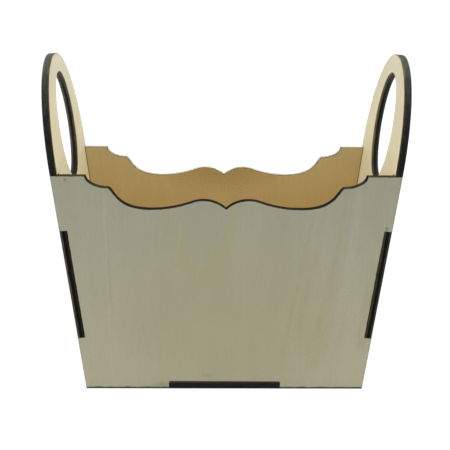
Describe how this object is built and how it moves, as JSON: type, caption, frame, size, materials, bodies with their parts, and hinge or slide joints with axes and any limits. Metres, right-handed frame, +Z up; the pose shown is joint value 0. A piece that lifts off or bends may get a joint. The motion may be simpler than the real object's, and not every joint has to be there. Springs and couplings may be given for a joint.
{
  "type": "trug garden basket",
  "caption": "Small flat-pack plywood basket: scalloped front and back, leaning ends that rise into round-topped handles with long holes, tabs locked in notches.",
  "frame": {"origin": "centre of the footprint, on the surface that the basket stands on", "axes": "+X along the basket from the left handle to the right one, +Y from the front panel to the back panel, +Z up"},
  "size_m": [0.1936, 0.078, 0.1861],
  "materials": {
    "plywood": "bare birch plywood, satin"
  },
  "bodies": {
    "root": {"front_panel": "plywood", "back_panel": "plywood", "left_end_panel": "plywood", "right_end_panel": "plywood", "base_panel": "plywood"}
  },
  "joints": []
}
